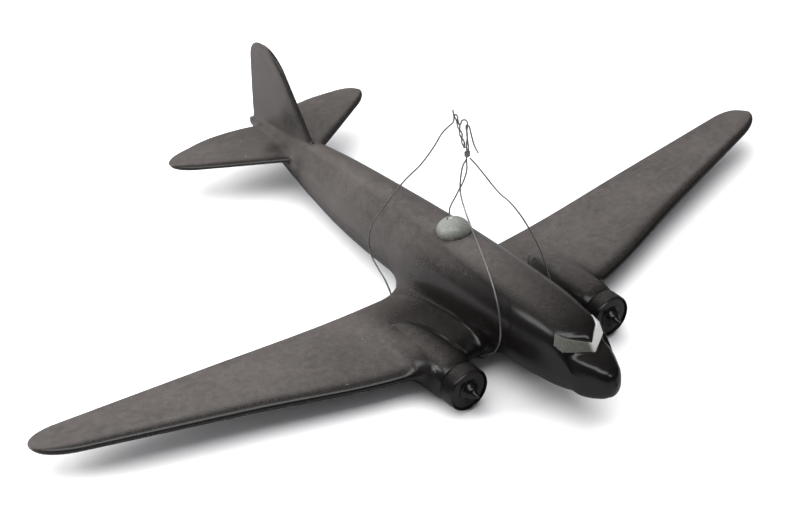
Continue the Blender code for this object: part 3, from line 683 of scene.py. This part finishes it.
def moulded_black(name="moulded_black"):
    """Black moulding: clean and glossy where it is steep, dusty where it faces up."""
    look = Look(name)
    scratch = look.noise(0.9, 4.0, (1.0, 0.4, 1.0))
    cloud, mottle, grain = look.noise(24, 3.0), look.noise(3.0, 4.0), look.noise(0.55, 2.0)

    # Dust lies on what faces up, and towards the tail on the sides too
    up = look.between(look.height, 0.70, 0.97)
    sides = look.times(look.between(look.height, -0.5, 0.2),
                       look.between(look.along, -0.085, 0.0, 0.0, 0.8))
    up = look.math("MAXIMUM", up, sides)

    # Painted shade at the wing's roots, between the body and the pods and most of all on the
    # right: the dust is thinned there, so that they show darker
    outboard = look.math("ABSOLUTE", look.across, 0.0)
    root = look.times(look.between(outboard, 0.011, 0.019),
                      look.between(outboard, 0.032, 0.052, 1.0, 0.0))
    root = look.times(root, look.between(look.across, 0.018, 0.030, 1.0, 0.3))
    root = look.times(root, look.between(look.along, -0.035, -0.005, 1.0, 0.0))

    # It is thin at the nose, and on what faces ahead, and the painted shade at the wing's roots
    # thins it further
    astern = look.times(look.between(look.along, -0.118, -0.030, 0.12, 1.0),
                        look.math("SUBTRACT", 1.0, look.times(root, 0.8)))
    astern = look.times(astern, look.between(look.astern, -0.32, -0.06, 0.3, 1.0))
    uneven = look.math("ADD", look.times(cloud, 0.5), look.times(mottle, 0.5))
    dust_and_shade = look.times(up, look.between(uneven, 0.15, 0.85, 0.5, 1.0))
    dust_and_shade = look.times(dust_and_shade, astern)
    # Painted shade: the dust is thinned in the tail's corners, so that they show darker
    for place, size in TAIL_SHADE_CORNERS:
        dust_and_shade = look.times(dust_and_shade, look.patch(place, size, 0.0, 1.0, 0.45))
    dust_and_shade = look.times(dust_and_shade, look.between(grain, 0.3, 0.7, 0.8, 1.2), clamp=True)

    body = look.mix(mottle, (0.0032, 0.0029, 0.0028), (0.0062, 0.0056, 0.0052))
    colour = look.mix(dust_and_shade, body, (0.090, 0.081, 0.076))
    settled = look.times(up, look.math("ADD", look.times(astern, 0.7), 0.3))
    lint = look.times(look.specks(6.0, 0.30, 0.22), settled)
    powder = look.times(look.specks(1.5, 0.20, 0.30), settled)
    colour = look.mix(look.times(powder, 0.45), colour, (0.26, 0.25, 0.23))
    colour = look.mix(look.times(lint, 0.75), colour, (0.45, 0.43, 0.40))
    for place, size in SCUFFS:
        rubbed = look.times(look.patch(place, size, 0.3, 0.0, 1.0),
                            look.between(scratch, 0.45, 0.68))
        colour = look.mix(look.times(rubbed, 0.30), colour, (0.26, 0.245, 0.235))
    rough = look.between(dust_and_shade, 0.0, 1.0, 0.20, 0.50)
    look.set(look.shader, {
        "Base Color": colour,
        "Roughness": look.math("ADD", rough, look.times(grain, 0.05)),
        # Painted shade: little reflection in the crease beside the right pod
        "Specular IOR Level": look.patch(CREASE_SHADE, CREASE_SHADE_RADIUS, 0.4, 0.5, 0.08),
        "Normal": look.bump(grain, 0.02, 0.4, look.bump(mottle, 0.04, 0.3)),
    })
    return look.material


def smoked_plastic(name, tint, cloudiness, low=None, painted_light_side=None, cap=None):
    """Aged clear plastic, grey-green and hazed.

    low: two levels between which it turns from dark and greenish to its tint, a painted shade at
    the piece's foot
    painted_light_side: its colour left of the centre line, a painted highlight that lightens that
    side's pane
    cap: the middle of a pin's cap, and painted shade in the gap around it
    """
    look = Look(name)
    haze, grain = look.noise(5.0, 2.0), look.noise(0.7, 2.0)
    colour = look.mix(haze, tuple(0.8 * c for c in tint), tint)
    # Painted shade: darker and greener towards the foot, where it meets the body
    if low:
        colour = look.mix(look.between(look.level, *low), (0.050, 0.050, 0.038), colour)
    # Painted highlight: the left pane lighter, fading in over the last millimetres right of the
    # centre line
    if painted_light_side:
        colour = look.mix(look.between(look.across, -1.8 * MM, 0.4 * MM), colour, painted_light_side)
    # Painted shade: the gap around the pin's cap is coloured dark
    if cap:
        colour = look.mix(look.patch(cap, DOME_PIN + 0.1, 0.92, 1.0, 0.0), colour,
                          (0.012, 0.012, 0.011))
    look.set(look.shader, {
        "Base Color": colour,
        "Roughness": look.between(grain, 0.2, 0.8, 0.20, 0.30),
        "Transmission Weight": 1.0 - cloudiness,
        "IOR": 1.47,
        "Normal": look.bump(haze, 0.03, 0.15),
    })
    return look.material


def annealed_wire():
    """Soft grey iron wire with dull and bright streaks."""
    look = Look("annealed_wire", metallic=0.9)
    streak, grain = look.noise(1.5, 3.0), look.noise(0.3, 2.0)
    look.set(look.shader, {
        "Base Color": look.mix(streak, (0.16, 0.155, 0.15), (0.42, 0.41, 0.40)),
        "Roughness": look.between(grain, 0.2, 0.8, 0.26, 0.46),
        "Normal": look.bump(grain, 0.02, 0.5),
    })
    return look.material


def plain_steel():
    """Turned steel, for the rods and pins inside."""
    look = Look("plain_steel", metallic=1.0)
    turning = look.noise(0.4, 2.0, (1.0, 12.0, 12.0))
    look.set(look.shader, {
        "Base Color": look.mix(turning, (0.30, 0.29, 0.28), (0.44, 0.43, 0.42)),
        "Roughness": look.between(turning, 0.2, 0.8, 0.25, 0.45),
        "Normal": look.bump(turning, 0.02, 0.4),
    })
    return look.material


# ---------------------------------------------------------------- studio

def area_light(name, place, aim, size, power, seen_in_gloss=True):
    """A rectangular light at a place, turned to an aim, in metres and watts."""
    data = bpy.data.lights.new(name, "AREA")
    data.shape = "RECTANGLE"
    data.size, data.size_y = size
    data.energy = power
    light = bpy.data.objects.new(name, data)
    light.location = place
    light.rotation_euler = (Vector(aim) - Vector(place)).to_track_quat("-Z", "Y").to_euler()
    light.visible_glossy = seen_in_gloss
    bpy.context.scene.collection.objects.link(light)
    return light


def make_floor():
    """A white floor, which gloss shows as a dark card that fades out around the model."""
    mesh = bpy.data.meshes.new("floor")
    reach = 3.0
    mesh.from_pydata([(-reach, -reach, 0), (reach, -reach, 0), (reach, reach, 0),
                      (-reach, reach, 0)], [], [(0, 1, 2, 3)])
    look = Look("pale_floor", roughness=0.9)
    paper = look.mix(look.noise(60, 3.0), (0.88, 0.875, 0.885), (0.90, 0.90, 0.90))
    in_gloss = look.node("ShaderNodeLightPath").outputs["Is Glossy Ray"]
    away = look.node("ShaderNodeVectorMath", {0: look.place}, operation="LENGTH")
    card = look.mix(look.between(away.outputs["Value"], 0.15, 0.9),
                    (0.25, 0.245, 0.25), (0.05, 0.05, 0.05))
    look.set(look.shader, {"Base Color": look.mix(in_gloss, paper, card),
                           "Specular IOR Level": 0.1})
    mesh.materials.append(look.material)
    floor = bpy.data.objects.new("floor", mesh)
    bpy.context.scene.collection.objects.link(floor)


WORLD_STRENGTH, WORLD_STRENGTH_IN_GLOSS = 0.35, 0.03


def make_lights():
    """Two boxes that only gloss shows, for the highlights, and a wide soft sky and a light on
    the tail that gloss doesn't show."""
    for name, place, aim, size, power in (
            ("strip_box", (-0.26, -0.33, 0.91), (0, 0, 0), (1.3, 0.36), 5.0),
            ("side_box", (-0.763, 0.376, 0.66), (-0.011, -0.097, 0.03), (0.28, 0.24), 0.85)):
        box = area_light(name, place, aim, size, power)
        box.visible_diffuse = False
    area_light("sky_panel", (0.1, 0.5, 1.3), (0, 0.1, 0), (2.6, 2.4), 58.0, seen_in_gloss=False)
    area_light("tail_kicker", (-0.7, 0.45, 0.3), (0, 0.1, 0.02), (0.5, 0.4), 9.0,
               seen_in_gloss=False)
    world = bpy.data.worlds.new("studio")
    world.use_nodes = True
    bpy.context.scene.world = world
    nodes, links = world.node_tree.nodes, world.node_tree.links
    background = nodes["Background"]
    background.inputs["Color"].default_value = (0.97, 0.96, 1.0, 1.0)
    path = nodes.new("ShaderNodeLightPath")
    dim = nodes.new("ShaderNodeMapRange")
    dim.inputs["To Min"].default_value = WORLD_STRENGTH
    dim.inputs["To Max"].default_value = WORLD_STRENGTH_IN_GLOSS
    links.new(path.outputs["Is Glossy Ray"], dim.inputs["Value"])
    links.new(dim.outputs["Result"], background.inputs["Strength"])
    bpy.context.scene.view_settings.view_transform = "Standard"


# ---------------------------------------------------------------- windscreen

# Half outlines of the insert's sill and its top: (across, station, height)
SILL = [(0.0, 17.9, 13.9), (10.2, 24.5, 14.6), (12.6, 29.5, 16.6)]
HEAD = [(0.0, 20.1, 17.9), (8.3, 26.2, 19.9), (10.3, 31.6, 20.6)]
FOOT_WIDTH, WELL_WIDTH = 0.84, 0.93      # as shares of the sill's and the top's width
AFT_PER_WIDTH = 14                       # how far aft a ring moves as its width shrinks


def insert_block():
    """The insert's points and faces: foot, sill and head rings, and a rim around a well."""
    def ring(outline, rise, width=1.0):
        half = [(x * width, y + (1 - width) * AFT_PER_WIDTH, z + rise) for x, y, z in outline]
        return [(-x, y, z) for x, y, z in half[:0:-1]] + half

    rings = [ring(SILL, -2.5, FOOT_WIDTH), ring(SILL, 0.0), ring(HEAD, -0.55),
             ring(HEAD, -0.6, WELL_WIDTH), ring(HEAD, -2.4, WELL_WIDTH)]
    points = [point for row in rings for point in row]
    count = len(rings[0])
    faces = []
    for row in range(len(rings) - 1):
        for k in range(count):
            n = (k + 1) % count
            faces.append((row * count + k, row * count + n, (row + 1) * count + n,
                          (row + 1) * count + k))
    last = (len(rings) - 1) * count
    faces.append(tuple(range(last, last + count)))
    faces.append(tuple(range(count))[::-1])
    return points, faces


def cut_slit(body, start, end, normal, width=0.95, depth=1.6, nearest=3.0):
    """Opens a slit in the body along the top edge of a pane, widest at its middle. Only points
    nearer to the pane's plane than nearest move."""
    run = end - start
    along = (body.points - start) @ run / (run @ run)
    outward = np.cross(run, normal)
    outward /= np.linalg.norm(outward)
    off = (body.points - start) @ outward
    reach = width * np.sin(np.pi * np.clip(along, 0, 1)) ** 0.7
    near = np.abs((body.points - start) @ normal) < nearest
    open_here = near & (off > -0.2) & (off < reach) & (along > 0) & (along < 1)
    body.points[open_here, 2] -= depth


def seat_insert(body, proud=0.28, margin=0.25, highest=2.5):
    """Sinks the body's surface just below the insert's panes, so that they show: by proud
    below a pane, up to a margin around it, for points up to the highest above it."""
    points, faces = insert_block()
    points = np.array(points)
    count = 2 * len(SILL) - 1
    for face in faces[count:2 * count - 1]:
        corners = points[list(face)]
        brow = np.abs(corners[:, 0]).min() < 1e-6
        middle = corners.mean(axis=0)
        normal = np.cross(corners[2] - corners[0], corners[3] - corners[1])
        normal /= np.linalg.norm(normal)
        height = (body.points - middle) @ normal
        inside = (height > -proud) & (height < highest)
        for a, b in zip(corners, np.roll(corners, -1, axis=0)):
            outward = np.cross(b - a, normal)
            outward /= np.linalg.norm(outward)
            inside &= (body.points - a) @ outward < margin
        body.points[inside] -= np.outer(height[inside] + proud, normal)
        if brow:
            cut_slit(body, corners[2], corners[3], normal)


def make_windscreen(material):
    points, faces = insert_block()
    mesh = bpy.data.meshes.new("windscreen")
    mesh.from_pydata([tuple(packed(p)) for p in points], [], faces)
    mesh.materials.append(material)
    bm = bmesh.new()
    bm.from_mesh(mesh)
    bmesh.ops.recalc_face_normals(bm, faces=bm.faces)
    bm.to_mesh(mesh)
    bm.free()
    insert = bpy.data.objects.new("windscreen_insert", mesh)
    bevel = insert.modifiers.new("soft edges", "BEVEL")
    bevel.width = 0.22 * MM
    bevel.segments = 3
    bevel.harden_normals = True
    mesh.shade_smooth()
    link(insert, "airframe", "windscreen", slot="smoked_clear")


# ---------------------------------------------------------------- making it all

def make_airframe(black):
    body, fin = fuselage_form(), fin_form()
    sides = {"left": 1, "right": -1}
    wings = {name: wing_form(side) for name, side in sides.items()}
    tails = {name: stabiliser_form(side) for name, side in sides.items()}
    nacelles = {name: nacelle_form(side) for name, side in sides.items()}

    def root(points):
        """Wider behind the wing."""
        return 5.0 + 10.0 * ramp(104, 126, points[:, 1])

    def pod(points):
        """A crease on the inboard side, and wide on the outboard side."""
        return 0.5 + 5.5 * ramp(ENGINE_X, ENGINE_X + 9, np.abs(points[:, 0]))

    def tail(points):
        return np.full(len(points), 1.7)

    def rim(points):
        return np.full(len(points), 0.7)

    for name, side in sides.items():
        fillet(body, wings[name], root)
        fillet(wings[name], body, root)
        fillet(wings[name], nacelles[name], pod)
        fillet(nacelles[name], wings[name], pod)
        groove(wings[name], nacelles[name])
        groove(nacelles[name], nacelles[name])
        fillet(body, tails[name], tail)
        fillet(tails[name], body, tail)
    fillet(body, fin, tail)
    fillet(fin, body, tail)
    fillet(body, dome_form(), rim)
    seat_insert(body)
    for name, side in sides.items():
        link(moulding(f"fuselage_{name}", body, black, side), "airframe",
             f"fuselage_{name}_half", slot="black_moulding")
        for title, form in (("wing", wings), ("stabiliser", tails), ("nacelle", nacelles)):
            link(moulding(f"{title}_{name}", form[name], black), "airframe",
                 f"{title}_{name}", slot="black_moulding")
    link(moulding("fin", fin, black), "airframe", "fin", slot="black_moulding")


def make_engines(black):
    """Cowls, engine faces and hubs, from profiles of (radius, distance ahead)."""
    cowl = rounded([(8.0, 2.0), (8.9, 0.5), (8.9, 7.4), (9.25, 8.0), (9.7, 7.2), (9.7, 1.0),
                    (9.1, 0.0), (8.4, 0.2), (8.0, 1.4)], 0.6)
    face = rounded([(0.0, 0.35), (5.5, 0.25), (8.5, 0.1), (8.85, -0.3), (8.6, -2.4),
                    (0.0, -2.4)], 0.5)
    hub = rounded([(0.0, 7.2), (0.45, 6.7), (1.3, 5.2), (1.8, 4.0), (2.7, 3.2), (3.3, 2.0),
                   (4.1, 0.9), (5.2, 0.42), (0.0, 0.4)], 0.5)
    for name, side in (("left", 1), ("right", -1)):
        centre = side * ENGINE_X
        link(turned_piece(f"cowl_{name}", cowl, black, (centre, COWL_FRONT + 8.0, ENGINE_Z)),
             "airframe", f"cowl_{name}", slot="black_moulding")
        place = (centre, COWL_FRONT + FACE_RECESS, ENGINE_Z)
        link(turned_piece(f"engine_face_{name}", face, black, place), "airframe",
             f"engine_face_{name}", slot="black_moulding")
        link(turned_piece(f"hub_{name}", hub, black, place), f"{name}_hub",
             f"propeller_hub_{name}", slot="black_moulding")


# The dome: a flattened ball about DOME, which leans aft. Its pin's cap is at DOME_CAP
DOME, DOME_LEAN = (0.0, 109.4, 25.3), -15.0
DOME_RADIUS, DOME_HEIGHT, DOME_WALL, DOME_HOLE, DOME_PIN = 7.85, 6.6, 1.3, 1.85, 1.25
DOME_TOP = DOME_HEIGHT * math.cos(math.asin(DOME_HOLE / DOME_RADIUS)) - 0.15
DOME_CAP = (DOME[0], DOME[1] - DOME_TOP * math.sin(math.radians(DOME_LEAN)),
            DOME[2] + DOME_TOP * math.cos(math.radians(DOME_LEAN)))


def dome_form():
    """The dome's outer ball, for the body to close up around."""
    rings = [(DOME_RADIUS * math.sin(a), DOME_HEIGHT * math.cos(a))
             for a in np.linspace(0.02, math.pi - 0.02, 40)]
    ball = turned_form(rings)
    ball.points += np.array(DOME)
    return Form(ball.points.reshape(len(rings), -1, 3))


def make_dome(material, pin_material):
    """The dome, a shell with a hole at its top, and the top of the pin in the hole."""
    inner, under = DOME_RADIUS - DOME_WALL, DOME_HEIGHT - DOME_WALL
    hole = math.asin(DOME_HOLE / DOME_RADIUS)
    outside = [(DOME_RADIUS * math.sin(a), DOME_HEIGHT * math.cos(a))
               for a in np.linspace(hole, math.pi * 0.6, 40)]
    inside = [(inner * math.sin(a), under * math.cos(a))
              for a in np.linspace(math.pi * 0.6, math.asin(DOME_HOLE / inner), 30)]
    profile = outside + inside
    link(turned_piece("dome", profile + profile[:1], material, DOME, DOME_LEAN), "airframe",
         "observation_dome", slot="smoked_clear")
    top, foot, collar = DOME_TOP, -2.0, DOME_HOLE - 0.05
    pin = rounded([(0.0, top), (DOME_PIN, top), (DOME_PIN, top - 0.4), (collar, top - 0.45),
                   (collar, foot), (0.0, foot)], 0.08)
    link(turned_piece("dome_pin_top", pin, pin_material, DOME, DOME_LEAN), "airframe",
         "dome_pin", slot="smoked_clear")


def make_harness(material):
    """The wires: the slings, the eye, the link and the tail, and the coil that binds the knot."""
    wires = {}
    for name, route in (("sling_right", SLING_RIGHT), ("sling_left", SLING_LEFT),
                        ("eye", eye_route()), ("link", HANGER_LINK), ("tail", HANGER_TAIL)):
        wires[name] = wire(name, route, material, 0.35 if name == "eye" else 0.8)
    wraps, _ = wire("knot", wrap_route(), material, 0.3)
    cad = {"sling_right": "sling_wire_right", "sling_left": "sling_wire_left",
           "eye": "hanger_eye", "link": "hanger_link", "tail": "hanger_tail"}
    for name, (obj, _) in wires.items():
        link(obj, "harness", cad[name], slot="annealed_wire")
    link(wraps, "harness", "knot_binding", slot="annealed_wire")
    others = [wraps, wires["link"][0], wires["tail"][0]]
    for name, far_end, pieces in (("sling_right", "bare", others), ("sling_left", "knot", []),
                                  ("eye", "knot", [])):
        obj, length = wires[name]


make_harness(annealed_wire())
make_floor()
make_lights()
black = moulded_black()
make_airframe(black)
make_engines(black)
dome_level = packed(DOME).z
# The windscreen's left pane gets a painted highlight
make_windscreen(smoked_plastic("windscreen_plastic", (0.092, 0.092, 0.080), 1.0,
                               painted_light_side=(0.50, 0.50, 0.48)))
# The dome gets painted shade at its foot
make_dome(smoked_plastic("dome_plastic", (0.22, 0.23, 0.21), 0.90,
                         (dome_level - 0.2 * MM, dome_level + 4.5 * MM)),
          # Painted shade in the gap around the pin's cap
          smoked_plastic("pin_plastic", (0.34, 0.34, 0.33), 0.95, cap=DOME_CAP))
# The rods and pins inside keep their CAD meshes and take these materials
steel = plain_steel()
for node in ("wing_spar", "tailplane_rod", "fin_peg", "hub_pin_left", "hub_pin_right",
             "nose_dowel", "middle_dowel", "tail_dowel"):
    materials = frame["nodes"][node].data.materials
    materials.clear()
    materials.append(black if "dowel" in node else steel)
